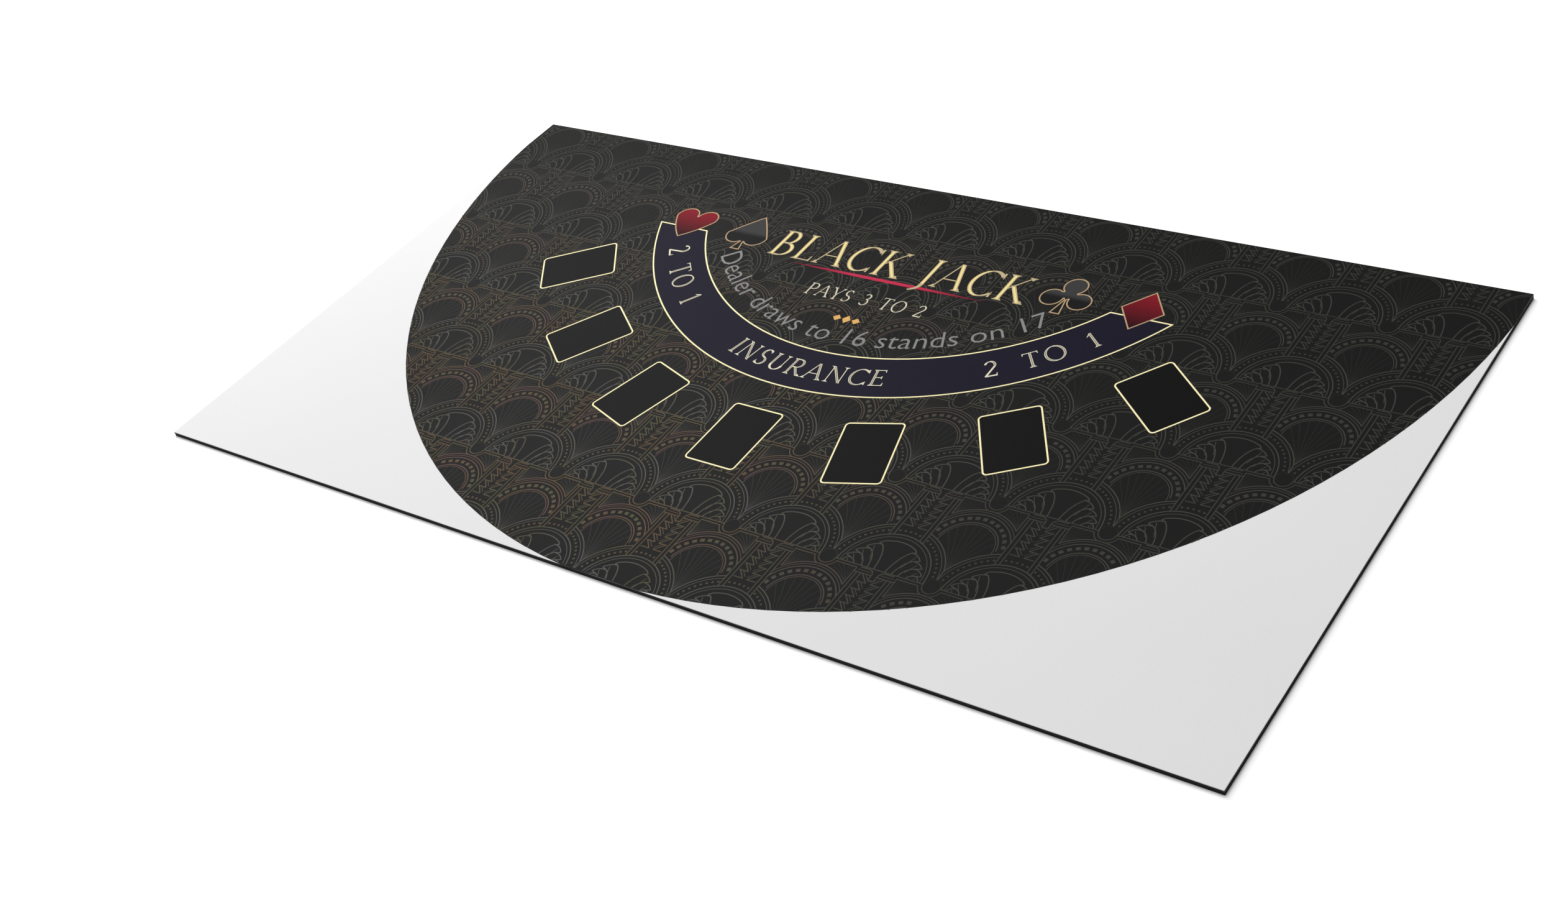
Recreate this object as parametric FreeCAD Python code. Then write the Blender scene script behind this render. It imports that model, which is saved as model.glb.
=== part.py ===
import FreeCAD, Part
import math
import os

# Half-round card game mat: a sponge-rubber sheet faced with knitted cloth and printed as a
# seven-place layout. Millimetres. The origin is the middle of the underside, +X runs along the
# straight dealer edge, +Y points at that edge and +Z is up.

# ---- driving dimensions -------------------------------------------------------------------------
WIDTH = 1400.0                  # along X
DEPTH = WIDTH / 2               # along Y
GRIP_SKIN = 0.6                 # embossed rubber skin that meets the table
FOAM_CORE = 4.6                 # sponge rubber
BOND_FILM = 0.1                 # adhesive between foam and cloth
FACE_CLOTH = 0.4                # fine knitted polyester
INK = 0.1                       # each printed layer

PLACES = 7                      # player places round the layout
PLACE_STEP = 17.5               # degrees from one place to the next
PLACE_RADIUS = 0.371 * WIDTH    # from the places' centre to the middle of a card box
PLACE_CENTRE = 0.035 * WIDTH    # how far that centre lies behind the dealer edge
CARD_SIDE_MARGIN = 2.8          # between the box's outline and a poker card of 63 by 88
CARD_END_MARGIN = 4.0
CARD_BOX_WIDTH = 63.0 + 2 * CARD_SIDE_MARGIN
CARD_BOX_LENGTH = 88.0 + 2 * CARD_END_MARGIN
CARD_BOX_CORNER = 5.5
RULE_LINE = 1.8                 # width of the gold lines

GROUND_RADIUS = 0.5015 * WIDTH  # half-round ground print, centred on the dealer edge

BAND_CENTRE = 0.019 * WIDTH     # how far the band's centre lies behind the dealer edge
BAND_OUTER = 0.2925 * WIDTH
BAND_INNER = 0.2440 * WIDTH
BAND_END = 0.1108 * WIDTH       # distance from the dealer edge at which the band is cut off

RED_SUITS = 0.2305 * WIDTH      # heart and diamond, from the centre line
DARK_SUITS = 0.1635 * WIDTH     # spade and club, from the centre line
EMBLEM_LINE = 1.6               # width of the emblems' outline

TITLE_WIDTH = 0.2575 * WIDTH
TITLE_CAP = 46.0
TITLE_PEN = 5.5                 # width of the letters' strokes
TITLE_BASELINE = 0.123 * WIDTH  # from the dealer edge, as are the next ones
SWOOSH_WIDTH = 0.2075 * WIDTH
SWOOSH_THICK = 5.0
SWOOSH_LINE = 0.1290 * WIDTH
PAYOUT_WIDTH = 0.119 * WIDTH
PAYOUT_CAP = 20.0
PAYOUT_PEN = 2.2
PAYOUT_BASELINE = 0.163 * WIDTH
ORNAMENT_LINE = 0.1835 * WIDTH
ORNAMENT_WIDTH = 38.0
ORNAMENT_HEIGHT = 14.0

DEALER_RADIUS = 0.2315 * WIDTH  # baseline of the curved house rule, about the band's centre
DEALER_CAP = 20.0
DEALER_SPAN = 91.0              # degrees
BAND_TEXT_CAP = 26.0
CURVED_PEN = 2.4                # of the house rule and of the lettering on the band
BAND_TEXT_RADIUS = (BAND_OUTER + BAND_INNER) / 2 + BAND_TEXT_CAP / 2
INSURANCE_SPAN = 31.0
ODDS_SPAN = 18.0
ODDS_ANGLE = 43.6               # of the odds from the centre line

# ---- heights of the layers, from the table up ---------------------------------------------------
Z_FOAM = GRIP_SKIN
Z_BOND = Z_FOAM + FOAM_CORE
Z_CLOTH = Z_BOND + BOND_FILM
Z_GROUND = Z_CLOTH + FACE_CLOTH
Z_ART = Z_GROUND + INK          # band, boxes, emblems and the lettering on the ground
Z_BAND_TEXT = Z_ART + INK       # lettering on the band

EDGE = DEPTH / 2                # Y of the dealer edge

# Letters as pen strokes on a grid 4 wide and 6 high.
STROKES = {
    "A": [[(0, 0), (2, 6), (4, 0)], [(0.7, 2), (3.3, 2)]],
    "B": [[(0, 3), (3, 3), (4, 4), (4, 5), (3, 6), (0, 6), (0, 0), (3, 0), (4, 1), (4, 2), (3, 3)]],
    "C": [[(4, 5), (3, 6), (1, 6), (0, 5), (0, 1), (1, 0), (3, 0), (4, 1)]],
    "D": [[(0, 0), (0, 6), (3, 6), (4, 5), (4, 1), (3, 0), (0, 0)]],
    "E": [[(4, 6), (0, 6), (0, 0), (4, 0)], [(0, 3), (3, 3)]],
    "I": [[(2, 0), (2, 6)]],
    "J": [[(3, 6), (3, 1), (2, 0), (1, 0), (0, 1)]],
    "K": [[(0, 0), (0, 6)], [(4, 6), (0, 2)], [(1.5, 3.5), (4, 0)]],
    "L": [[(0, 6), (0, 0), (4, 0)]],
    "N": [[(0, 0), (0, 6), (4, 0), (4, 6)]],
    "O": [[(1, 0), (3, 0), (4, 1), (4, 5), (3, 6), (1, 6), (0, 5), (0, 1), (1, 0)]],
    "P": [[(0, 0), (0, 6), (3, 6), (4, 5), (4, 4), (3, 3), (0, 3)]],
    "R": [[(0, 0), (0, 6), (3, 6), (4, 5), (4, 4), (3, 3), (0, 3)], [(2, 3), (4, 0)]],
    "S": [[(4, 5), (3, 6), (1, 6), (0, 5), (0, 4), (1, 3), (3, 3), (4, 2), (4, 1), (3, 0), (1, 0), (0, 1)]],
    "T": [[(0, 6), (4, 6)], [(2, 6), (2, 0)]],
    "U": [[(0, 6), (0, 1), (1, 0), (3, 0), (4, 1), (4, 6)]],
    "W": [[(0, 6), (1, 0), (2, 4), (3, 0), (4, 6)]],
    "Y": [[(0, 6), (2, 3), (4, 6)], [(2, 3), (2, 0)]],
    "1": [[(1, 5), (2, 6), (2, 0)]],
    "2": [[(0, 5), (1, 6), (3, 6), (4, 5), (4, 4), (0, 0), (4, 0)]],
    "3": [[(0, 5), (1, 6), (3, 6), (4, 5), (4, 4), (3, 3), (4, 2), (4, 1), (3, 0), (1, 0), (0, 1)],
          [(3, 3), (1.5, 3)]],
    "6": [[(4, 5), (3, 6), (1, 6), (0, 5), (0, 1), (1, 0), (3, 0), (4, 1), (4, 2), (3, 3), (0, 3)]],
    "7": [[(0, 6), (4, 6), (1.5, 0)]],
}
GRID_WIDE = 4.0
GRID_HIGH = 6.0


def vec(x, y, z=0.0):
    return FreeCAD.Vector(x, y, z)


def save(shape, node):
    """Write one piece, as a solid or a group of separate solids."""
    solids = shape.Solids
    assert solids and all(s.isValid() and s.isClosed() for s in solids), node
    body = solids[0] if len(solids) == 1 else Part.makeCompound(solids)
    body.exportStep("parts/%s.step" % node)
    box = body.BoundBox
    print("%-22s %3d solids  x %7.1f %7.1f  y %7.1f %7.1f  z %.2f %.2f"
          % (node, len(solids), box.XMin, box.XMax, box.YMin, box.YMax, box.ZMin, box.ZMax))


def sheet(low, thick):
    """A full-size ply of the mat."""
    return Part.makeBox(WIDTH, DEPTH, thick, vec(-WIDTH / 2, -EDGE, low))


def plate(face, low):
    """A printed area: a flat face at height low, one ink layer thick."""
    lifted = face.copy()
    lifted.translate(vec(0, 0, low))
    return lifted.extrude(vec(0, 0, INK))


def disc(radius, x=0.0, y=0.0):
    return Part.Face(Part.Wire(Part.makeCircle(radius, vec(x, y))))


def rectangle(x0, y0, x1, y1):
    return Part.Face(Part.makePolygon([vec(x0, y0), vec(x1, y0), vec(x1, y1), vec(x0, y1), vec(x0, y0)]))


def polygon(points):
    return Part.Face(Part.makePolygon([vec(x, y) for x, y in points + points[:1]]))


def arc(start, middle, end):
    return Part.Arc(vec(*start), vec(*middle), vec(*end)).toShape()


def line(start, end):
    return Part.makeLine(vec(*start), vec(*end))


def closed(edges):
    return Part.Face(Part.Wire(Part.sortEdges(edges)[0]))


def union(faces):
    """Overlapping flat faces as one face."""
    solids = [face.extrude(vec(0, 0, INK)) for face in faces]
    whole = solids[0].multiFuse(solids[1:]).removeSplitter()
    return next(face for face in whole.Faces if face.BoundBox.ZMax < INK / 2)


def mirrored(edges):
    """The same edges on the other side of the Y axis."""
    return [edge.mirror(vec(0, 0), vec(1, 0)) for edge in edges]


# ---- printed areas ------------------------------------------------------------------------------
def band_area(inset):
    """The insurance band as a ring sector cut off square, its boundary moved in by inset."""
    centre = EDGE + BAND_CENTRE
    ring = disc(BAND_OUTER - inset, 0, centre).cut(disc(BAND_INNER + inset, 0, centre))
    return ring.common(rectangle(-WIDTH, -DEPTH, WIDTH, EDGE - BAND_END - inset))


def card_area(inset):
    """A card box with rounded corners, centred on the origin and long in Y."""
    half_w = CARD_BOX_WIDTH / 2 - inset
    half_l = CARD_BOX_LENGTH / 2 - inset
    r = CARD_BOX_CORNER - inset
    k = r * (1 - math.sqrt(0.5))
    edges = []
    corners = [(half_w, half_l), (-half_w, half_l), (-half_w, -half_l), (half_w, -half_l)]
    for i, (x, y) in enumerate(corners):
        sx = math.copysign(1, x)
        sy = math.copysign(1, y)
        ends = [(x, y - sy * r), (x - sx * r, y)]
        if i % 2:
            ends.reverse()
        edges.append(arc(ends[0], (x - sx * k, y - sy * k), ends[1]))
        nx, ny = corners[(i + 1) % 4]
        if i % 2:
            edges.append(line(ends[1], (x, ny - math.copysign(r, ny))))
        else:
            edges.append(line(ends[1], (nx - math.copysign(r, nx), y)))
    return closed(edges)


def at_place(face, k):
    """Put a face drawn at the origin on player place k, counted from the centre line."""
    angle = k * PLACE_STEP
    placed = face.copy()
    placed.rotate(vec(0, 0), vec(0, 0, 1), angle)
    swing = math.radians(angle)
    x = PLACE_RADIUS * math.sin(swing)
    y = EDGE + PLACE_CENTRE - PLACE_RADIUS * math.cos(swing)
    placed.translate(vec(x, y))
    return placed


# Each emblem is drawn about the middle of its outline, in its own height and width.
def heart(width=63.6, height=57.9):
    w = width / 2
    h = height / 2
    cleft = (0, 0.53 * h)
    side = (w, 0.36 * h)
    right = [arc(cleft, (0.46 * w, h), side), arc(side, (0.66 * w, -0.24 * h), (0, -h))]
    return closed(right + mirrored(right))


def spade(width=61.9, height=69.3):
    w = width / 2
    h = height / 2
    notch = (0.09 * w, -0.55 * h)
    side = (w, -0.16 * h)
    right = [arc((0, h), (0.53 * w, 0.42 * h), side), arc(side, (0.60 * w, -0.66 * h), notch)]
    right += [line(notch, (0.24 * w, -h)), line((0.24 * w, -h), (0, -h))]
    return closed(right + mirrored(right))


def club(width=64.9, height=65.5):
    w = width / 2
    h = height / 2
    lobe = 0.453 * w
    leaves = [disc(lobe, 0, h - lobe)]
    leaves += [disc(lobe, side * (w - lobe), -0.19 * h) for side in (-1, 1)]
    middle = polygon([(-0.35 * w, 0.2 * h), (0, -0.3 * h), (0.35 * w, 0.2 * h)])
    stalk = polygon([(0, 0), (-0.21 * w, -h), (0.21 * w, -h)])
    return union(leaves + [middle, stalk])


def diamond(width=54.3, height=69.0):
    w = width / 2
    h = height / 2
    return polygon([(0, -h), (w, 0), (0, h), (-w, 0)])


# name, outline, x, distance of its middle from the dealer edge
EMBLEMS = [
    ("heart", heart(), -RED_SUITS, 0.1056 * WIDTH),
    ("spade", spade(), -DARK_SUITS, 0.1026 * WIDTH),
    ("club", club(), DARK_SUITS, 0.1025 * WIDTH),
    ("diamond", diamond(), RED_SUITS, 0.1022 * WIDTH),
]


def emblem_areas():
    """Name, whole area and inner area of each emblem, in place on the mat."""
    areas = []
    for name, face, x, back in EMBLEMS:
        face = face.copy()
        face.translate(vec(x, EDGE - back))
        areas.append((name, face, face.makeOffset2D(-EMBLEM_LINE, join=0)))
    return areas


# ---- lettering ----------------------------------------------------------------------------------
def letter(char, cap, wide, pen):
    """One letter as a face made of pen strokes, its baseline centred on the origin."""
    scale_x = wide / GRID_WIDE
    scale_y = (cap - pen) / GRID_HIGH
    bars = []
    for stroke in STROKES[char]:
        points = [((x - GRID_WIDE / 2) * scale_x, y * scale_y + pen / 2) for x, y in stroke]
        for (x0, y0), (x1, y1) in zip(points, points[1:]):
            run = math.hypot(x1 - x0, y1 - y0)
            bar = rectangle(-pen / 2, -pen / 2, run + pen / 2, pen / 2)
            bar.rotate(vec(0, 0), vec(0, 0, 1), math.degrees(math.atan2(y1 - y0, x1 - x0)))
            bar.translate(vec(x0, y0))
            bars.append(bar)
    return union(bars)


def straight_lettering(words, width, cap, pen, baseline):
    """Letters evenly spaced along a line, baseline given as a distance from the dealer edge."""
    wide = 0.5 * cap
    step = (width - wide - pen) / (len(words) - 1)
    faces = []
    for i, char in enumerate(words):
        if char != " ":
            face = letter(char, cap, wide, pen)
            face.translate(vec((i - (len(words) - 1) / 2) * step, EDGE - baseline))
            faces.append(face)
    return Part.makeCompound(faces)


def curved_lettering(words, radius, middle, span, cap, pen):
    """Letters round the band's centre with their feet outwards, middle counted from straight down."""
    wide = 0.5 * cap
    step = span / (len(words) - 1)
    faces = []
    for i, char in enumerate(words):
        if char != " ":
            angle = middle + (i - (len(words) - 1) / 2) * step
            face = letter(char, cap, wide, pen)
            face.translate(vec(0, -radius))
            face.rotate(vec(0, 0), vec(0, 0, 1), angle)
            face.translate(vec(0, EDGE + BAND_CENTRE))
            faces.append(face)
    return Part.makeCompound(faces)


def swoosh():
    """The tapered underline of the title, pointed at both ends."""
    half = SWOOSH_WIDTH / 2
    y = EDGE - SWOOSH_LINE
    upper = arc((-half, y), (0, y + SWOOSH_THICK / 2), (half, y))
    lower = arc((half, y), (0, y - SWOOSH_THICK / 2), (-half, y))
    return closed([upper, lower])


def ornament():
    """Three lozenges side by side."""
    half = ORNAMENT_WIDTH / 6
    y = EDGE - ORNAMENT_LINE
    faces = []
    for i in (-1, 0, 1):
        x = 2.1 * half * i
        tall = ORNAMENT_HEIGHT / 2 * (1.0 if i == 0 else 0.75)
        faces.append(polygon([(x - 0.9 * half, y), (x, y - tall), (x + 0.9 * half, y), (x, y + tall)]))
    return Part.makeCompound(faces)


# ---- the plies and the print --------------------------------------------------------------------
def plies():
    save(sheet(0.0, GRIP_SKIN), "grip_skin")
    save(sheet(Z_FOAM, FOAM_CORE), "foam_core")
    save(sheet(Z_BOND, BOND_FILM), "bond_film")
    save(sheet(Z_CLOTH, FACE_CLOTH), "face_cloth")
    ground = disc(GROUND_RADIUS, 0, EDGE).common(rectangle(-WIDTH / 2, -EDGE, WIDTH / 2, EDGE))
    save(plate(ground, Z_GROUND), "ground_print")


def band_and_emblems():
    areas = emblem_areas()
    fill = band_area(RULE_LINE)
    outline = band_area(0.0).cut(fill)
    for name, whole, inner in areas:
        fill = fill.cut(whole)
        outline = outline.cut(whole)
        save(plate(inner, Z_ART), name + "_emblem")
        save(plate(whole.cut(inner), Z_ART), name + "_outline")
    save(plate(fill, Z_ART), "insurance_band")
    save(plate(outline, Z_ART), "band_outline")


def card_boxes():
    fill = card_area(RULE_LINE)
    frame = card_area(0.0).cut(fill)
    for i in range(PLACES):
        k = i - (PLACES - 1) / 2
        save(plate(at_place(fill, k), Z_ART), "card_box_%d" % (i + 1))
        save(plate(at_place(frame, k), Z_ART), "card_frame_%d" % (i + 1))


def lettering():
    title = straight_lettering("BLACK JACK", TITLE_WIDTH, TITLE_CAP, TITLE_PEN, TITLE_BASELINE)
    save(plate(title, Z_ART), "title_lettering")
    save(plate(swoosh(), Z_ART), "title_swoosh")
    payout = straight_lettering("PAYS 3 TO 2", PAYOUT_WIDTH, PAYOUT_CAP, PAYOUT_PEN, PAYOUT_BASELINE)
    save(plate(payout, Z_ART), "payout_lettering")
    save(plate(ornament(), Z_ART), "header_ornament")
    rule = curved_lettering("DEALER DRAWS TO 16 STANDS ON 17", DEALER_RADIUS, 0.0, DEALER_SPAN,
                            DEALER_CAP, CURVED_PEN)
    save(plate(rule, Z_ART), "dealer_lettering")
    insurance = curved_lettering("INSURANCE", BAND_TEXT_RADIUS, 0.0, INSURANCE_SPAN,
                                 BAND_TEXT_CAP, CURVED_PEN)
    save(plate(insurance, Z_BAND_TEXT), "insurance_lettering")
    for side, angle in (("left", -ODDS_ANGLE), ("right", ODDS_ANGLE)):
        odds = curved_lettering("2 TO 1", BAND_TEXT_RADIUS, angle, ODDS_SPAN,
                                BAND_TEXT_CAP, CURVED_PEN)
        save(plate(odds, Z_BAND_TEXT), "odds_lettering_" + side)


os.makedirs("parts", exist_ok=True)
plies()
band_and_emblems()
card_boxes()
lettering()
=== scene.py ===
import math

import bpy
import numpy as np
from bpy.props import FloatProperty, FloatVectorProperty, PointerProperty
from mathutils import Matrix, Vector
from mathutils.geometry import delaunay_2d_cdt


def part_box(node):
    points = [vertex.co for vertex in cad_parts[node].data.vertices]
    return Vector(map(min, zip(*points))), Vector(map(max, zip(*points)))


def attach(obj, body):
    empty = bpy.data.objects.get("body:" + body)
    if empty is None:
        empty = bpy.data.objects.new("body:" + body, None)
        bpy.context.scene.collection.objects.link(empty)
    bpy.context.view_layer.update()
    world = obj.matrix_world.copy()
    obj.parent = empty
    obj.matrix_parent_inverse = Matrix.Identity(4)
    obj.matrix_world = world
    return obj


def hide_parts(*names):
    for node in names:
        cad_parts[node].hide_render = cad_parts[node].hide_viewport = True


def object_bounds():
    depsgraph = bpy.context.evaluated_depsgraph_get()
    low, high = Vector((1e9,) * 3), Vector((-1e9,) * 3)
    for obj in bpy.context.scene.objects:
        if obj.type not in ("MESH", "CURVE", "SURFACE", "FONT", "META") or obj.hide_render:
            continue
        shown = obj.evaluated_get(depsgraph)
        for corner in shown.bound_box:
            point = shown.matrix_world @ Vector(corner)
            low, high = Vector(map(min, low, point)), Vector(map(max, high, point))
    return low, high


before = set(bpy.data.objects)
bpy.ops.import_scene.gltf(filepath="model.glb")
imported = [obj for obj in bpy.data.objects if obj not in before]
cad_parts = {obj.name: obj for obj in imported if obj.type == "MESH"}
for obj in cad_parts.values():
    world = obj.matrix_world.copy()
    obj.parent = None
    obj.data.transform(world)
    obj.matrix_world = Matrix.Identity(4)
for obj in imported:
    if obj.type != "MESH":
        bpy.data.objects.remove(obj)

bl_info = {
    "name": "Blackjack layout mat",
    "version": (1, 0, 0),
    "blender": (4, 5, 0),
    "location": "View3D > Sidebar > Layout mat",
    "description": "Cloth, rubber plies, print and fan linework of a half-round card game mat",
    "category": "Object",
}

CAD_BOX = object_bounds()

WIDTH = CAD_BOX[1].x - CAD_BOX[0].x
DEALER_EDGE = CAD_BOX[1].y
MM = 0.001

PLACES = 7
SUITS = ("heart", "spade", "club", "diamond")
PRINT_AREAS = (["insurance_band", "band_outline", "title_swoosh", "header_ornament"]
               + ["card_%s_%d" % (part, i + 1) for part in ("box", "frame") for i in range(PLACES)]
               + ["%s_%s" % (suit, part) for suit in SUITS for part in ("emblem", "outline")])

TINY = 1e-12                # a length or an area that counts as none
LEVEL = 1e-6                # how far apart two heights may be and still count as one
CORNER_FLOOR = 0.6          # keeps a strip's corner from jutting out at a sharp bend
MERGE_GAP = 1e-7            # outline points nearer than this become one
INSIDE_ONLY = 1             # delaunay_2d_cdt's output type: the triangles inside the outlines


def top_of(node):
    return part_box(node)[1].z


# The band's lower edge is an arc: its radius follows from its half width and its height.
BAND_LOW, BAND_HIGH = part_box("band_outline")
BAND_RISE = BAND_HIGH.y - BAND_LOW.y
BAND_CENTRE_Y = BAND_LOW.y + (BAND_HIGH.x ** 2 + BAND_RISE ** 2) / (2 * BAND_RISE)


# ---- shapes in plan -----------------------------------------------------------------------------
def line(x0, y0, x1, y1):
    """Two points."""
    return np.array([(x0, y0), (x1, y1)], float)


def ring(cx, cy, rx, ry, start, end, step=9.0):
    """An arc of an ellipse: centre + (rx cos a, ry sin a) for a from start to end, in degrees."""
    count = max(2, int(round(abs(end - start) / step)) + 1)
    a = np.radians(np.linspace(start, end, count))
    return np.column_stack([cx + rx * np.cos(a), cy + ry * np.sin(a)])


def bow(x0, y0, cx, cy, x1, y1, count=7):
    """A quadratic curve: (1-t)^2 of the start, 2t(1-t) of the control point, t^2 of the end."""
    t = np.linspace(0, 1, count)[:, None]
    return (1 - t) ** 2 * (x0, y0) + 2 * t * (1 - t) * np.array((cx, cy)) + t ** 2 * (x1, y1)


def offsets(points):
    """Unit normals at a line's points, lengthened at each bend so that a strip keeps its width."""
    along = np.diff(points, axis=0)
    along /= np.maximum(np.linalg.norm(along, axis=1, keepdims=True), TINY)
    normals = np.column_stack([-along[:, 1], along[:, 0]])
    first = np.vstack([normals[:1], normals])
    second = np.vstack([normals, normals[-1:]])
    mitre = first + second
    return mitre / np.maximum((mitre * first).sum(axis=1, keepdims=True), CORNER_FLOOR)


def cross(u, v):
    """Plan vectors' cross product: positive where v is anticlockwise of u."""
    return u[..., 0] * v[..., 1] - u[..., 1] * v[..., 0]


def turn_of(triangles):
    """Twice the area of each plan triangle, positive where its corners run anticlockwise."""
    return cross(triangles[:, 1] - triangles[:, 0], triangles[:, 2] - triangles[:, 0])


def triangles_of(mesh):
    """A mesh's triangles as an array (triangles, 3, 3)."""
    mesh.calc_loop_triangles()
    points = np.empty(len(mesh.vertices) * 3)
    mesh.vertices.foreach_get("co", points)
    corners = np.empty(len(mesh.loop_triangles) * 3, int)
    mesh.loop_triangles.foreach_get("vertices", corners)
    return points.reshape(-1, 3)[corners].reshape(-1, 3, 3)


# ---- closed thin solids as (points, faces) ------------------------------------------------------
def strip(points, width, low, high):
    """A flat printed line: a rectangle, width by high - low, carried along the points."""
    side = offsets(points) * width / 2
    left, right = points + side, points - side
    n = len(points)
    flat = np.vstack([left, right, right, left])
    z = np.repeat([low, low, high, high], n)
    i = np.arange(n - 1)
    faces = []
    for a, b in ((0, 1), (1, 2), (2, 3), (3, 0)):
        faces.append(np.column_stack([a * n + i, a * n + i + 1, b * n + i + 1, b * n + i]))
    ends = np.array([[0, n, 2 * n, 3 * n], [4 * n - 1, 3 * n - 1, 2 * n - 1, n - 1]])
    return np.column_stack([flat, z]), np.vstack(faces + [ends]).tolist()


def pegs(centres, turns, outline, low, high):
    """One small prism at each centre: the outline turned by each turn, from low up to high."""
    c, s = np.cos(turns)[:, None], np.sin(turns)[:, None]
    x = centres[:, :1] + outline[:, 0] * c - outline[:, 1] * s
    y = centres[:, 1:] + outline[:, 0] * s + outline[:, 1] * c
    n, k = x.shape
    flat = np.stack([x, y], axis=2)
    points = np.concatenate([
        np.concatenate([flat, np.full((n, k, 1), low)], axis=2),
        np.concatenate([flat, np.full((n, k, 1), high)], axis=2)], axis=1).reshape(-1, 3)
    i = np.arange(k)
    walls = np.column_stack([i, (i + 1) % k, k + (i + 1) % k, k + i])
    start = 2 * k * np.arange(n)[:, None, None]
    caps = np.stack([i[::-1], k + i])
    return points, (start + walls).reshape(-1, 4).tolist() + (start + caps).reshape(-1, k).tolist()


def prism(flat, triangles, low, high):
    """A plan triangulation as a closed plate. An edge used once is its rim, and gets a wall."""
    turned = turn_of(flat[triangles]) < 0
    triangles = np.where(turned[:, None], triangles[:, ::-1], triangles)
    n = len(flat)
    edges = np.vstack([triangles[:, [0, 1]], triangles[:, [1, 2]], triangles[:, [2, 0]]])
    rim = edges[~np.isin(edges[:, 0] * n + edges[:, 1], edges[:, 1] * n + edges[:, 0])]
    walls = np.column_stack([rim[:, 0], rim[:, 1], n + rim[:, 1], n + rim[:, 0]])
    points = np.column_stack([np.vstack([flat, flat]), np.repeat([low, high], n)])
    return points, triangles[:, ::-1].tolist() + (triangles + n).tolist() + walls.tolist()


def merged(outlines):
    """The union of overlapping anticlockwise outlines, as (points, triangles)."""
    starts = np.cumsum([0] + [len(o) for o in outlines])
    rings = [list(range(a, b)) for a, b in zip(starts, starts[1:])]
    flat, _, triangles, _, _, owners = delaunay_2d_cdt(
        [Vector(p) for o in outlines for p in o.tolist()], [], rings, INSIDE_ONLY, MERGE_GAP)
    kept = [t for t, owner in zip(triangles, owners) if owner]
    return np.array([(p.x, p.y) for p in flat]), np.array(kept)


def joined(solids):
    """Several (points, faces) as one."""
    points, faces, start = [], [], 0
    for p, f in solids:
        points.append(p)
        faces += [[i + start for i in face] for face in f]
        start += len(p)
    return np.vstack(points), faces


def bevelled_slab(half_x, half_y, profile, step, wander):
    """A closed slab: a profile of (inset, height) carried round a rectangle, capped at both ends.
    wander(distance round the edge) moves the rim in and out a little, as a knife cut does."""
    nx, ny = int(round(2 * half_x / step)), int(round(2 * half_y / step))
    tx, ty = np.linspace(-1, 1, nx + 1)[:-1], np.linspace(-1, 1, ny + 1)[:-1]
    path = np.vstack([
        np.column_stack([tx, np.full(nx, -1.0)]), np.column_stack([np.full(ny, 1.0), ty]),
        np.column_stack([-tx, np.full(nx, 1.0)]), np.column_stack([np.full(ny, -1.0), -ty])])
    n = len(path)
    extra = wander(np.arange(n) * step)
    rows = []
    for inset, z in profile:
        reach = np.array([half_x, half_y]) - inset
        rows.append(np.column_stack([path * (reach - extra[:, None]), np.full(n, z)]))
    i = np.arange(n)
    j = (i + 1) % n
    faces = []
    for k in range(len(profile) - 1):
        faces += np.column_stack([k * n + i, k * n + j, (k + 1) * n + j, (k + 1) * n + i]).tolist()
    faces += [i[::-1].tolist(), ((len(profile) - 1) * n + i).tolist()]
    return np.vstack(rows), faces


def add_piece(name, solid, material, slot, *nodes):
    """Makes a mesh object of (points, faces), rides it on the mat and hides the nodes it stands for."""
    points, faces = solid
    mesh = bpy.data.meshes.new(name)
    mesh.from_pydata(points.tolist(), [], faces)
    mesh.materials.append(material)
    piece = bpy.data.objects.new(name, mesh)
    bpy.context.scene.collection.objects.link(piece)
    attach(piece, "root")
    if nodes:
        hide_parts(*nodes)
    return piece


def dress(node, material):
    """Gives a carried-over CAD node its finish."""
    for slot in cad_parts[node].material_slots:
        slot.material = material


# ---- materials ----------------------------------------------------------------------------------
MIX_FACTOR, MIX_FIRST, MIX_SECOND, MIX_COLOUR = 0, 6, 7, 2   # a Mix node's sockets for colours


class Signal:
    """A node's output. Arithmetic on it adds Math nodes."""

    def __init__(self, finish, socket):
        self.finish = finish
        self.socket = socket

    def math(self, operation, *values):
        return self.finish.node("ShaderNodeMath", {"operation": operation}, dict(enumerate(values)))

    def __add__(self, other):
        return self.math("ADD", self, other)

    def __sub__(self, other):
        return self.math("SUBTRACT", self, other)

    def __rsub__(self, other):
        return self.math("SUBTRACT", other, self)

    def __mul__(self, other):
        return self.math("MULTIPLY", self, other)

    def sin(self):
        return self.math("SINE", self)

    def size(self):
        return self.math("ABSOLUTE", self)

    def clamped(self):
        return self.math("MINIMUM", self.math("MAXIMUM", self, 0.0), 1.0)


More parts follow.
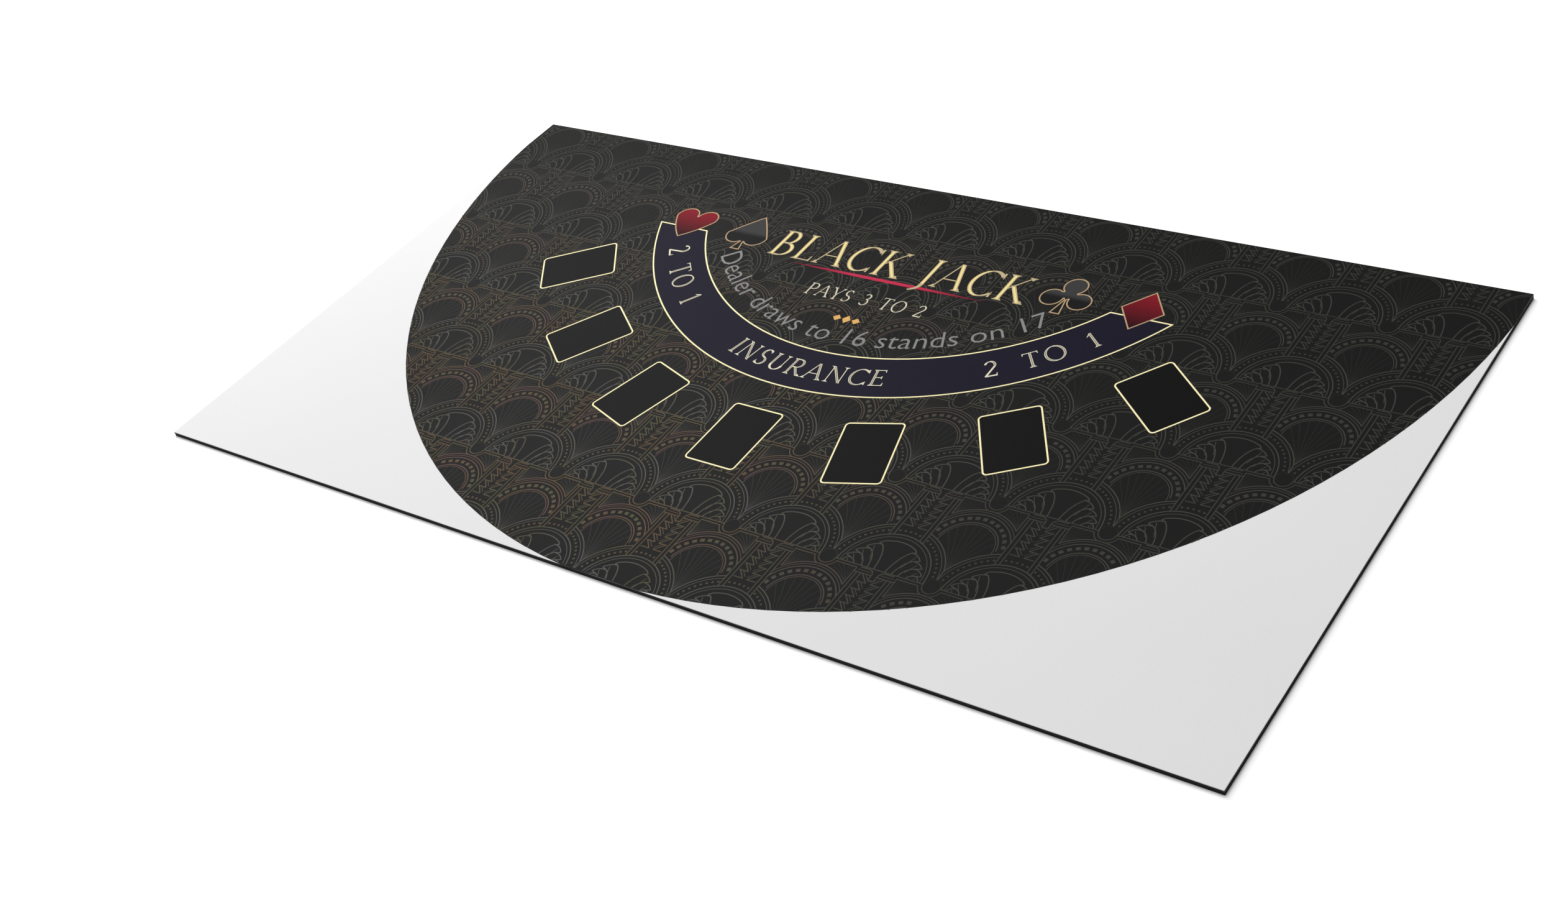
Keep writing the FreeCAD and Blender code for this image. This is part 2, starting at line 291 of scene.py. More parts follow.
class Finish:
    """A node material being written."""

    def __init__(self, name, roughness, specular):
        self.material = bpy.data.materials.new(name)
        self.material.use_nodes = True
        self.tree = self.material.node_tree
        self.shader = self.tree.nodes["Principled BSDF"]
        self.feed("Roughness", roughness)
        self.feed("Specular IOR Level", specular)

    def fill(self, socket, value):
        """Links a signal to a socket, or sets the socket to a value."""
        if isinstance(value, Signal):
            self.tree.links.new(value.socket, socket)
        else:
            socket.default_value = value

    def feed(self, name, value):
        """Fills one of the shader's sockets."""
        self.fill(self.shader.inputs[name], value)

    def node(self, kind, settings, values, output=0):
        """Adds a node, sets its settings and fills its sockets, given by name or number."""
        node = self.tree.nodes.new(kind)
        for key, value in settings.items():
            setattr(node, key, value)
        for key, value in values.items():
            self.fill(node.inputs[key], value)
        return Signal(self, node.outputs[output])

    def place(self):
        """Object coordinates, in metres."""
        return self.node("ShaderNodeTexCoord", {}, {}, "Object")

    def plan(self, at):
        """The X and the Y of coordinates."""
        parts = self.node("ShaderNodeSeparateXYZ", {}, {0: at}).socket.node.outputs
        return Signal(self, parts[0]), Signal(self, parts[1])

    def noise(self, at, size, detail):
        """Soft noise from 0 to 1 with features about size metres across."""
        return self.node("ShaderNodeTexNoise", {}, {"Vector": at, "Scale": 1 / size, "Detail": detail})

    def cells(self, at, size):
        """Distance to the nearest of scattered points, about size metres apart."""
        return self.node("ShaderNodeTexVoronoi", {}, {"Vector": at, "Scale": 1 / size})

    def blend(self, factor, first, second, mode="MIX"):
        """A colour between two, as factor goes from 0 to 1."""
        return self.node("ShaderNodeMix", {"data_type": "RGBA", "blend_type": mode},
                         {MIX_FACTOR: factor, MIX_FIRST: first, MIX_SECOND: second}, MIX_COLOUR)

    def ramp(self, factor, low, high):
        """0 below low, 1 above high, straight between."""
        return ((factor - low) * (1 / (high - low))).clamped()

    def bump(self, height, strength, distance):
        values = {"Height": height, "Strength": strength, "Distance": distance}
        self.feed("Normal", self.node("ShaderNodeBump", {}, values))


def rgba(colour, gain=1.0):
    return (colour[0] * gain, colour[1] * gain, colour[2] * gain, 1.0)


DRIFT_SIZE = 0.35           # metres over which the tone of print drifts
HUE_SIZE = 0.045            # metres over which the hue of thin print wanders
YARN_SIZE = 1.6             # size of the yarn's grain, in wales
ROUGHNESS_SPREAD = 0.12     # between the yarn's lightest and darkest grains
KNIT_BUMP, KNIT_RELIEF = 0.35, 0.12 * MM
PRINT_ROUGHNESS, PRINT_GLOSS = 0.40, 0.014
FADED_AND_SHADED_HUE = (1.0, 1.02, 0.88)      # hue of the linework where it is weak and in painted shade, for a mean tone of 1
WEAK_SHADED_TONE, STRONG_LIT_TONE = 0.40, 0.78         # tone of thin print at strength 0 and 1; the dark end is partly painted shade
FADE_NEAR, FADE_FAR = -0.05 * WIDTH, 0.26 * WIDTH   # Y where thin print starts to fade, and ends; the fade is partly painted shade
FADE_RIGHT = 0.25 * WIDTH   # X from where only KEPT_AT_RIGHT of its strength is left; the loss is partly painted shade
KEPT_AT_RIGHT = 0.1
COARSE_CELL, FINE_CELL = 1.1 * MM, 0.5 * MM     # of the sponge


def knit_height(x, y, pitch):
    """The loops of a fine knit: wales along Y, each crossed by courses that lean to its middle."""
    wales = (x * (math.pi / pitch)).sin().size()
    lean = (x * (2 * math.pi / pitch)).sin().size() * 1.2
    courses = (y * (2 * math.pi / (0.8 * pitch)) + lean).sin()
    return wales * 0.6 + courses * 0.4


def knit_print(name, colour, gain, second=None, share=None, strength=None,
               roughness=PRINT_ROUGHNESS, gloss=PRINT_GLOSS):
    """Ink or dye on knitted cloth. The yarn shows through as a fine lighter and darker grain, and
    the tone drifts a little over the mat. share(finish, at, x, y), from 0 to 1, mixes in second.
    strength(finish, x, y), from 0 to 1, says how strong the print is: where weak, it is darker and
    greyer. For the linework it also carries painted light, so its weak parts are partly painted shade."""
    pitch = bpy.context.scene.layout_sizes.knit_pitch
    finish = Finish(name, roughness, gloss)
    at = finish.place()
    x, y = finish.plan(at)
    base = rgba(colour)
    if share is not None:
        base = finish.blend(share(finish, at, x, y), rgba(colour), rgba(second))
    drift = finish.noise(at, DRIFT_SIZE, 1.0)
    yarn = finish.noise(at, YARN_SIZE * pitch, 3.0)
    tone = (drift - 0.5) * gain + (yarn - 0.5) * (2.0 * gain) + 1.0
    if strength is not None:
        # where this strength is low the print gets a greyer hue and a lower tone: partly a weaker
        # print, partly painted shade away from the light at the left front
        print_strength_and_light = strength(finish, x, y)
        faded_and_shaded = [sum(colour) / 3 * part for part in FADED_AND_SHADED_HUE]
        base = finish.blend(print_strength_and_light, rgba(faded_and_shaded), base)
        tone = tone * (print_strength_and_light * (STRONG_LIT_TONE - WEAK_SHADED_TONE) + WEAK_SHADED_TONE)
    finish.feed("Base Color", finish.blend(1.0, base, tone, "MULTIPLY"))
    finish.feed("Roughness", (yarn - 0.5) * ROUGHNESS_SPREAD + roughness)
    finish.bump(knit_height(x, y, pitch) + yarn * 0.8, KNIT_BUMP, KNIT_RELIEF)
    return finish.material


def hue_share(finish, at, x, y):
    """The hue of thin print wanders over a few centimetres."""
    return finish.ramp(finish.noise(at, HUE_SIZE, 1.0), 0.35, 0.65)


def linework_fade_and_painted_light(finish, x, y):
    """Thin print is strongest at the players' edge, left of the middle, and fades from there: partly a
    fade of the print, partly painted light, brighter where the light falls at the left front.
    """
    near = 1 - finish.ramp(y, FADE_NEAR, FADE_FAR)
    left = 1 - finish.ramp(x, 0.0, FADE_RIGHT) * (1 - KEPT_AT_RIGHT)
    return near * left


def sponge_rubber(name, colour):
    """Cut sponge rubber: round open cells of two sizes in a matt black wall. The cells are coloured
    darker than the wall: painted shade in the pores.
    """
    finish = Finish(name, 0.9, 0.25)
    at = finish.place()
    coarse, fine = finish.cells(at, COARSE_CELL), finish.cells(at, FINE_CELL)
    wall = finish.ramp(coarse, 0.1, 0.5) * 0.7 + finish.ramp(fine, 0.1, 0.5) * 0.3
    # painted shade: the hollows of the cells get the darker colour, the wall between them the lighter
    # one
    finish.feed("Base Color", finish.blend(wall, rgba(colour, 0.45), rgba(colour, 1.3)))
    finish.bump(wall, 0.6, 0.3 * MM)
    return finish.material


def moulded_rubber(name, colour):
    """Matt moulded rubber with a faint bloom and a fine grain."""
    finish = Finish(name, 0.72, 0.35)
    at = finish.place()
    bloom = finish.noise(at, 0.09, 4.0)
    grain = finish.noise(at, 1.2 * MM, 3.0)
    share = finish.ramp(bloom, 0.35, 0.75)
    finish.feed("Base Color", finish.blend(share, rgba(colour), rgba(colour, 1.6)))
    finish.feed("Roughness", bloom * 0.2 + 0.62)
    finish.bump(grain, 0.25, 0.2 * MM)
    return finish.material


def adhesive(name, colour):
    """The clouded cut edge of an adhesive film."""
    finish = Finish(name, 0.5, 0.4)
    cloud = finish.noise(finish.place(), 6 * MM, 3.0)
    finish.feed("Base Color", finish.blend(cloud, rgba(colour, 0.7), rgba(colour)))
    finish.bump(cloud, 0.15, 0.1 * MM)
    return finish.material


def painted_floor(name, colour):
    """A pale matt floor, evenly lit, with a trace of unevenness."""
    finish = Finish(name, 0.95, 0.1)
    tone = finish.noise(finish.place(), 0.8, 2.0)
    finish.feed("Base Color", finish.blend(tone, rgba(colour, 0.995), rgba(colour)))
    return finish.material


# ---- what a user would change -------------------------------------------------------------------
def colour_property(name, words, default):
    return FloatVectorProperty(name=name, description=words, default=default, subtype="COLOR",
                               size=3, min=0.0, max=1.0)


def length_property(name, words, default, low=0.0):
    return FloatProperty(name=name, description=words, default=default, subtype="DISTANCE",
                         unit="LENGTH", min=low, precision=5)


def angle_property(name, words, degrees):
    return FloatProperty(name=name, description=words, default=math.radians(degrees), subtype="ANGLE")


def number_property(name, words, default):
    return FloatProperty(name=name, description=words, default=default)


class LayoutSizes(bpy.types.PropertyGroup):
    knit_pitch: length_property("Knit pitch", "Width of one wale of the face cloth", 0.9 * MM)
    fan_tile: length_property("Fan tile", "Distance from one fan to the next", 0.0883 * WIDTH)
    bold_line: length_property("Bold line", "Width of the main linework", 1.25 * MM)
    fine_line: length_property("Fine line", "Width of the secondary linework", 0.8 * MM)
    grip_pitch: length_property("Grip pitch", "Pitch of the waffle under the mat", 14.0 * MM)


class InkColours(bpy.types.PropertyGroup):
    cloth: colour_property("Cloth", "Undyed face cloth", (0.62, 0.62, 0.62))
    ground: colour_property("Ground", "Half-round ground print", (0.0095, 0.0094, 0.0093))
    band: colour_property("Band", "Insurance band", (0.0085, 0.0078, 0.0170))
    card: colour_property("Card box", "Inside of the card boxes", (0.0050, 0.0050, 0.0049))
    gold_line: colour_property("Gold line", "Lines round the band and boxes", (0.80, 0.72, 0.42))
    suit_line: colour_property("Suit line", "Lines round the suits", (0.38, 0.265, 0.155))
    red_light: colour_property("Red, top", "Upper part of heart and diamond", (0.175, 0.0080, 0.016))
    red_deep: colour_property("Red, foot", "Lower part of heart and diamond", (0.022, 0.0040, 0.0060))
    grey_light: colour_property("Grey, top", "Upper part of spade and club", (0.036, 0.036, 0.036))
    grey_deep: colour_property("Grey, foot", "Lower part of spade and club", (0.0085, 0.0085, 0.0090))
    title_edge: colour_property("Title, edge", "Thin strokes and rims of the title", (0.42, 0.34, 0.20))
    title_face: colour_property("Title, face", "Thick strokes of the title", (0.70, 0.58, 0.24))
    payout: colour_property("Payout", "Cream of the payout line", (0.52, 0.48, 0.37))
    band_text: colour_property("Band text", "Cream of the lettering on the band", (0.60, 0.56, 0.43))
    band_inline: colour_property("Band text, inline", "Core of its thick strokes", (0.22, 0.20, 0.145))
    swoosh: colour_property("Underline", "Crimson under the title", (0.42, 0.022, 0.06))
    ornament: colour_property("Ornament", "Orange gold of the ornament", (0.60, 0.34, 0.11))
    rule: colour_property("House rule", "Grey of the curved house rule", (0.20, 0.20, 0.195))
    line_grey: colour_property("Linework, grey", "Fans and plumes", (0.098, 0.097, 0.094))
    line_olive: colour_property("Linework, olive", "Row lines and capitals", (0.090, 0.084, 0.050))
    line_brown: colour_property("Linework, brown", "Columns and zigzags", (0.118, 0.078, 0.046))
    line_mauve: colour_property("Linework, mauve", "Arches", (0.124, 0.075, 0.068))
    line_faint: colour_property("Linework, faint", "Rays and hatching", (0.040, 0.038, 0.035))
    rubber: colour_property("Rubber", "Sponge core and grip skin", (0.0075, 0.0075, 0.0080))


class StudioView(bpy.types.PropertyGroup):
    azimuth: angle_property("Azimuth", "Camera's direction, from behind the players", 42.9)
    elevation: angle_property("Elevation", "Camera's height above the horizon", 38.6)
    roll: angle_property("Roll", "Camera's turn about its own axis", -15.5)
    distance: length_property("Distance", "From the aim point to the camera", 1.42 * WIDTH)
    aim_x: length_property("Aim X", "Aim point, to the right of the mat's middle", 0.165 * WIDTH)
    aim_y: length_property("Aim Y", "Aim point, towards the dealer from the middle", -0.045 * WIDTH,
                           -WIDTH)
    focal: number_property("Focal length", "In sensor widths", 1.235)
    shift: number_property("Shift", "Sideways shift of the lens", -0.1)
    floor: colour_property("Floor", "Colour of the floor", (0.97, 0.97, 0.97))
    sky: number_property("Sky", "Strength of the even light", 0.2)
    overhead: number_property("Overhead", "Strength of the overhead light", 2.55)
    key: number_property("Key", "Power of the low light at the left, in watts", 50.0)


# ---- rubber and cloth ---------------------------------------------------------------------------
class Piece:
    """What the operators share: build makes their pieces from the scene's sizes and inks."""

    def execute(self, context):
        self.build(context.scene.layout_sizes, context.scene.layout_inks)
        return {"FINISHED"}


GRIP_RELIEF = 0.35 * MM
GRIP_CELLS = 4              # mesh cells to one pitch of the grip
RIB_SLOPE, RIB_START = 4.0, 2.9     # a rib's height is its cosine * slope - start, within 0 to 1
GRIP_BORDER = 1.5           # how far in the flat border ends, in half pitches
EDGE_STEP = 10 * MM
SPONGE_CUT, CLOTH_CUT = 0.25 * MM, 0.3 * MM     # how far the knife strayed in each
BOND_COLOUR = (0.30, 0.29, 0.26)


def knife_cut(depth):
    """How far the cut edge strays inwards, as a function of the distance round the edge."""
    def wander(s):
        return depth * (0.5 + 0.3 * np.sin(s / 0.043) + 0.2 * np.sin(s / 0.0117 + 1.3))
    return wander


def waffle_skin(low, high, pitch):
    """A closed skin with a flat top and a moulded underside. The underside is a grid whose height
    is relief * (1 - ridge), where ridge is 1 on two families of diagonal ribs and 0 in the cells."""
    step = pitch / GRIP_CELLS
    nx = int(round((high.x - low.x) / step))
    ny = int(round((high.y - low.y) / step))
    x, y = np.meshgrid(np.linspace(low.x, high.x, nx + 1), np.linspace(low.y, high.y, ny + 1))
    ribs = [np.abs(np.cos(math.pi * (x + side * y) / pitch)) for side in (-1, 1)]
    ridge = np.clip(np.maximum(*ribs) * RIB_SLOPE - RIB_START, 0, 1)
    margin = np.minimum(np.minimum(x - low.x, high.x - x), np.minimum(y - low.y, high.y - y))
    ridge = np.maximum(ridge, np.clip(GRIP_BORDER - margin / (0.5 * pitch), 0, 1))
    z = low.z + GRIP_RELIEF * (1 - ridge)
    under = np.column_stack([x.ravel(), y.ravel(), z.ravel()])
    number = np.arange(under.shape[0]).reshape(ny + 1, nx + 1)
    cells = np.stack([number[:-1, :-1], number[1:, :-1], number[1:, 1:], number[:-1, 1:]], axis=2)
    rim = np.concatenate([number[0, :-1], number[:-1, -1], number[-1, :0:-1], number[:0:-1, 0]])
    over = under[rim]
    over[:, 2] = high.z
    top = len(under) + np.arange(len(rim))
    walls = np.column_stack([rim, np.roll(rim, -1), np.roll(top, -1), top])
    return np.vstack([under, over]), cells.reshape(-1, 4).tolist() + walls.tolist() + [top.tolist()]


class LAYOUT_OT_rubber(Piece, bpy.types.Operator):
    """The grip skin, the sponge core and the bond film under the cloth"""
    bl_idname = "layout.rubber"
    bl_label = "Rubber plies"

    def build(self, sizes, inks):
        skin = waffle_skin(*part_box("grip_skin"), sizes.grip_pitch)
        add_piece("grip_skin_waffle", skin, moulded_rubber("grip_rubber", inks.rubber),
                  "grip_rubber", "grip_skin")
        low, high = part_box("foam_core")
        profile = [(0.15 * MM, low.z), (0.0, low.z + 0.5 * MM), (0.05 * MM, (low.z + high.z) / 2),
                   (0.0, high.z - 0.4 * MM), (0.1 * MM, high.z)]
        core = bevelled_slab(high.x, high.y, profile, EDGE_STEP, knife_cut(SPONGE_CUT))
        piece = add_piece("sponge_core", core, sponge_rubber("sponge_rubber", inks.rubber),
                          "sponge_rubber", "foam_core")
        dress("bond_film", adhesive("bond_film_edge", BOND_COLOUR))


class LAYOUT_OT_face_cloth(Piece, bpy.types.Operator):
    """The white knitted face cloth, laid flat on the core"""
    bl_idname = "layout.face_cloth"
    bl_label = "Face cloth"

    def build(self, sizes, inks):
        low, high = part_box("face_cloth")
        thick = high.z - low.z
        profile = [(0.08 * MM, low.z), (0.0, low.z + 0.3 * thick), (0.03 * MM, low.z + 0.65 * thick),
                   (0.12 * MM, low.z + 0.9 * thick), (0.30 * MM, high.z)]
        cloth = bevelled_slab(high.x, high.y, profile, EDGE_STEP, knife_cut(CLOTH_CUT))
        white = knit_print("knit_cloth", inks.cloth, 0.05, roughness=0.8, gloss=0.05)
        piece = add_piece("knit_face_cloth", cloth, white, "knit_cloth", "face_cloth")


# ---- print carried over from the frame ----------------------------------------------------------
# A suit's change of tone: half its depth, and its middle above the foot, in heights of the suit.
SOFT_FADE, SHARP_FADE = 0.42, 0.06
FADE_MIDDLE = 0.48


class LAYOUT_OT_print_areas(Piece, bpy.types.Operator):
    """The ground, the insurance band and the card boxes"""
    bl_idname = "layout.print_areas"
    bl_label = "Print areas"

    def build(self, sizes, inks):
        dress("ground_print", knit_print("ground_ink", inks.ground, 0.20))
        dress("insurance_band", knit_print("band_ink", inks.band, 0.14))
        card = knit_print("card_ink", inks.card, 0.08)
        gold = knit_print("gold_line_ink", inks.gold_line, 0.12)
        dress("band_outline", gold)
        for i in range(PLACES):
            dress("card_box_%d" % (i + 1), card)
            dress("card_frame_%d" % (i + 1), gold)


class LAYOUT_OT_suits(Piece, bpy.types.Operator):
    """Heart, spade, club and diamond, each darker towards its foot"""
    bl_idname = "layout.suits"
    bl_label = "Suit emblems"

    def build(self, sizes, inks):
        line_ink = knit_print("suit_line_ink", inks.suit_line, 0.2)
        red = (inks.red_deep, inks.red_light, SOFT_FADE)
        grey = (inks.grey_deep, inks.grey_light, SHARP_FADE)
        for suit, (deep, light, fade) in zip(SUITS, (red, grey, grey, red)):
            low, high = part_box(suit + "_emblem")
            tall = high.y - low.y
            middle = low.y + FADE_MIDDLE * tall

            def upper(finish, at, x, y):
                return finish.ramp(y, middle - fade * tall, middle + fade * tall)

            dress(suit + "_emblem", knit_print(suit + "_ink", deep, 0.12, light, upper))
            dress(suit + "_outline", line_ink)


# ---- fan linework -------------------------------------------------------------------------------
# The repeat is drawn in hundredths of a tile, about a junction: X to the right, Y to the dealer.
FAN_X = 50.0                # from a junction to the fan between it and the next
RING = 7.75                 # radius of the ring at a junction
CROWN = 11.0                # radius of the half ring under it
ROW_GAP = 2.75              # from the row line down to its second line
FAN_LINES = ((41.6, 1), (38.4, 0), (50.2, 0))
FAN_RIM = 53.1
FAN_BEADS = 46.25
LOBE_TOP = 33.8
ARCH_Y = -52.25
ARCH_LINES = ((39.6, 0), (36.8, 1), (27.0, 1), (24.9, 0))
ARCH_CROWN = 42.0
ARCH_BEADS = 31.9
COLUMN_LINES = (12.6, 16.5)  # from the fan's axis
BOX_SIDE = 30.6             # from the junction to the side of the spandrel box
BOX_FOOT = -22.75
ZIG_TOP, ZIG_STEP, ZIG_ROWS = -7.8, 7.9, 5
ZIG_IN, ZIG_OUT = 2.1, 11.1
TILE_STEP = 100.0
ROUND_BEAD = 1.15           # radius
SQUARE_BEAD = (1.7, 1.95)   # half width and half height
BEAD_ROOM = 1.2             # a bead is left out unless the ground is open this many radii around
LATTICE = (-0.0252 * WIDTH, DEALER_EDGE - 0.420 * WIDTH)    # one junction's place on the mat
COLUMNS, ROWS = range(-7, 7), range(-2, 6)
FAN_BEAD_ANGLES = (12.0, 169.0, 6.0)    # from, up to and by, in degrees
ARCH_BEAD_STEP = 12.2       # degrees
COLUMN_ROOM = 1.5           # kept free of round beads on each side of a column's lines
LONGEST = 6 * MM            # longest straight stretch of a line before it is cut to the ground
SHORTEST = 1 * MM           # shortest run of a cut line that is kept
BORDER = 1 * MM             # bare edge of the mat
HALVINGS = 9
BATCH = 500                 # points tested against an area's triangles at a time
LINE_LOW = 0.010 * MM       # each line is printed a little higher than the one before, so that
LINE_STEP = 0.0009 * MM     # where two cross, one lies on top


def mirrored(lines, about):
    """The lines and their mirror images about a vertical."""
    return lines + [(np.column_stack([2 * about - p[:, 0], p[:, 1]]), bold) for p, bold in lines]


def fan_lines():
    """The nested arcs of a fan, and the rim where it meets the next fan above the junction."""
    lines = [(ring(FAN_X, 0, r, r, 0, 180), bold) for r, bold in FAN_LINES[:2]]
    reach = math.degrees(math.acos(FAN_X / FAN_RIM))
    foot = math.degrees(math.asin(COLUMN_LINES[1] / FAN_RIM))
    inner = FAN_LINES[2][0]
    inner_reach = math.degrees(math.asin(RING / inner)) + 1
    inner_foot = math.degrees(math.asin(COLUMN_LINES[1] / inner))
    lines += mirrored([(ring(FAN_X, 0, FAN_RIM, FAN_RIM, reach, 90 - foot), 1),
                       (ring(FAN_X, 0, inner, inner, inner_reach, 90 - inner_foot), 0)], FAN_X)
    tip = FAN_RIM * math.sin(math.radians(reach))
    return lines + [(line(0, RING, 0, tip), 1)]


def plume_lines():
    """Feather-like plumes in a fan: each has a side from the row line up to a joint with the next
    plume, and a top that runs from the joint out to a point."""
    feet = (5.2, 11.5, 17.5, 24.9, 30.0)
    joints = ((14.3, 26.5), (20.3, 18.6), (25.9, 11.6), (30.1, 4.8))
    tips = ((17.9, 27.4), (25.9, 20.4), (32.2, 13.7), (36.1, 6.6), (36.5, 0.3))
    lines = []
    for foot, (jx, jy) in zip(feet, joints):
        lines.append((bow(foot, 0, foot + 0.18 * (jx - foot), 0.72 * jy, jx, jy), 1))
    for (jx, jy), (px, py) in zip(joints, tips[1:]):
        lines.append((bow(jx, jy, 0.52 * (jx + px), 0.5 * (jy + py) + 3.2, px, py), 1))
    for (jx, jy), (px, py), foot in zip(joints, tips[1:], feet[1:]):
        x, y = (jx + px) / 2, (jy + py) / 2
        lines.append((bow(x, y, x - 1.6, 0.8 * y, 0.75 * foot + 0.25 * x + 1, 0.35 * y, 5), 0))
    start = math.degrees(math.acos(tips[0][0] / LOBE_TOP)) + 1
    lines.append((np.vstack([[tips[0]], ring(0, 0, LOBE_TOP, LOBE_TOP, start + 4, 90)]), 1))
    lines += [(line(*joint, *tip), 1) for joint, tip in zip(joints, tips)]
    lines = [(p + (FAN_X, 0), bold) for p, bold in lines]
    return mirrored(lines, FAN_X)


def arch_lines():
    """The nested arches below a junction, cut off by the columns and by the fans of the next row."""
    lines = []
    for r, bold in ARCH_LINES + ((ARCH_CROWN, 1),):
        limit = BOX_SIDE if r == ARCH_CROWN else FAN_X - COLUMN_LINES[1]
        side = math.acos(min(1.0, limit / r))
        a = np.linspace(side, math.pi / 2, 13)
        p = np.column_stack([r * np.cos(a), ARCH_Y + r * np.sin(a)])
        clear = np.hypot(p[:, 0] - FAN_X, p[:, 1] + TILE_STEP) > FAN_RIM
        lines.append((p[clear], bold))
    return mirrored(lines, 0)


def ray_lines():
    """Curved rays that rise from the tip between two fans to the inner arch."""
    r = ARCH_LINES[-1][0]
    lines = []
    for angle in (27, 46, 65, 83, 97, 115, 134, 153):
        a = math.radians(angle)
        x, y = r * math.cos(a), ARCH_Y + r * math.sin(a)
        lines.append((bow(0, -80.0, 0.30 * x, 0.45 * y - 45, x, y, 6), 0))
    return lines


def spandrel_lines():
    """Hatching in the box's upper corners: rays that meet at the box's foot. Also the faint upper
    half of the ring."""
    under_row = -ROW_GAP - 0.6
    starts = ((11.5, -8.6), (13.2, -5.0), (17.4, under_row), (22.6, under_row), (26.9, under_row))
    lines = [(bow(x, y, 0.55 * x + 0.45 * BOX_SIDE, 0.6 * y - 5.5, BOX_SIDE - 0.8, BOX_FOOT + 2, 5), 0)
             for x, y in starts]
    return mirrored(lines, 0) + [(ring(0, 0, RING, RING, 0, 180, 20), 0)]


def row_lines():
    """The double line across a row, the rings at its junctions and the box under each junction."""
    lines = [(line(RING, 0, TILE_STEP - RING, 0), 1)]
    lines += [(ring(0, 0, RING, RING, -180, 0, 12), 1)]
    start = math.degrees(math.asin(ROW_GAP / CROWN))
    crown = ring(0, 0, CROWN, CROWN, -start, -75, 12)
    box = np.vstack([crown[::-1], [(BOX_SIDE, -ROW_GAP), (BOX_SIDE, BOX_FOOT)]])
    return lines + mirrored([(box, 1)], 0)


def column_lines():
    """A column on the fan's axis: capitals with a notch between, double sides and zigzags that
    run down to the beads of the next fan."""
    r = FAN_LINES[0][0]
    lines = []
    for x in COLUMN_LINES:
        lines.append((line(x, -7.0, x, -TILE_STEP + math.sqrt(r * r - x * x)), 1))
    lines.append((line(FAN_X - BOX_SIDE, -7.0, 2.6, -7.0), 1))
    lines.append((np.vstack([line(16, -1.4, 8.5, -1.4), bow(7.0, -1.4, 3.4, -1.9, 2.6, -6.2, 4),
                             line(2.6, -7.4, 2.6, -11.6), line(2.4, -12.0, 0, -12.0)]), 1))
    lines.append((line(17.5, -4.2, 4.6, -4.2), 0))
    for k in range(ZIG_ROWS):
        top = ZIG_TOP - k * ZIG_STEP
        foot = top - ZIG_STEP
        lines.append((line(ZIG_OUT - 1.0, top, ZIG_IN, foot), 1))
        lines.append((line(ZIG_IN, foot, ZIG_OUT, foot), 1))
        lines.append((line(ZIG_OUT - 4.2, top, ZIG_IN - 1.2, foot + 2.2), 0))
    lines = [(p + (FAN_X, 0), bold) for p, bold in lines]
    return mirrored(lines, FAN_X)


def fan_bead_places():
    """Centres and turns of the round beads along a fan, leaving out the columns."""
    a = np.arange(*FAN_BEAD_ANGLES)
    x = np.abs(FAN_BEADS * np.cos(np.radians(a)))
    clear = (x < COLUMN_LINES[0] - COLUMN_ROOM) | (x > COLUMN_LINES[1] + COLUMN_ROOM)
    a = np.radians(a[clear])
    return np.column_stack([FAN_X + FAN_BEADS * np.cos(a), FAN_BEADS * np.sin(a)]), a


def arch_bead_places():
    """Centres and turns of the square beads along an arch."""
    a = np.radians(90 + ARCH_BEAD_STEP * np.arange(-6, 7))
    return np.column_stack([ARCH_BEADS * np.cos(a), ARCH_Y + ARCH_BEADS * np.sin(a)]), a


def footprint(node):
    """A print area's upper face as plan triangles, an array (n, 3, 2)."""
    triangles = triangles_of(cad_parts[node].data)
    upper = (triangles[:, :, 2] > top_of(node) - LEVEL).all(axis=1)
    return triangles[upper][:, :, :2]


def inside(points, triangles):
    """True where a point is in any of the plan triangles: no edge has it outside."""
    found = np.zeros(len(points), bool)
    low, high = triangles.min(axis=(0, 1)), triangles.max(axis=(0, 1))
    near = np.flatnonzero(((points >= low) & (points <= high)).all(axis=1))
    a, b, c = (triangles[None, :, i] for i in range(3))
    turn = np.sign(cross(b - a, c - a))
    for batch in np.array_split(near, max(1, len(near) // BATCH)):
        p = points[batch][:, None]
        within = [cross(end - start, p - start) * turn >= 0
                  for start, end in ((a, b), (b, c), (c, a))]
        found[batch] = np.all(within, axis=0).any(axis=1)
    return found


class Coverage:
    """Which points of the ground are open, so that linework shows there."""

    def __init__(self):
        self.ground = footprint("ground_print")
        self.areas = [footprint(node) for node in PRINT_AREAS]
        self.reach = np.array([WIDTH / 2, DEALER_EDGE]) - BORDER

    def open(self, points):
        clear = inside(points, self.ground) & (np.abs(points) < self.reach).all(axis=1)
        for area in self.areas:
            clear &= ~inside(points, area)
        return clear


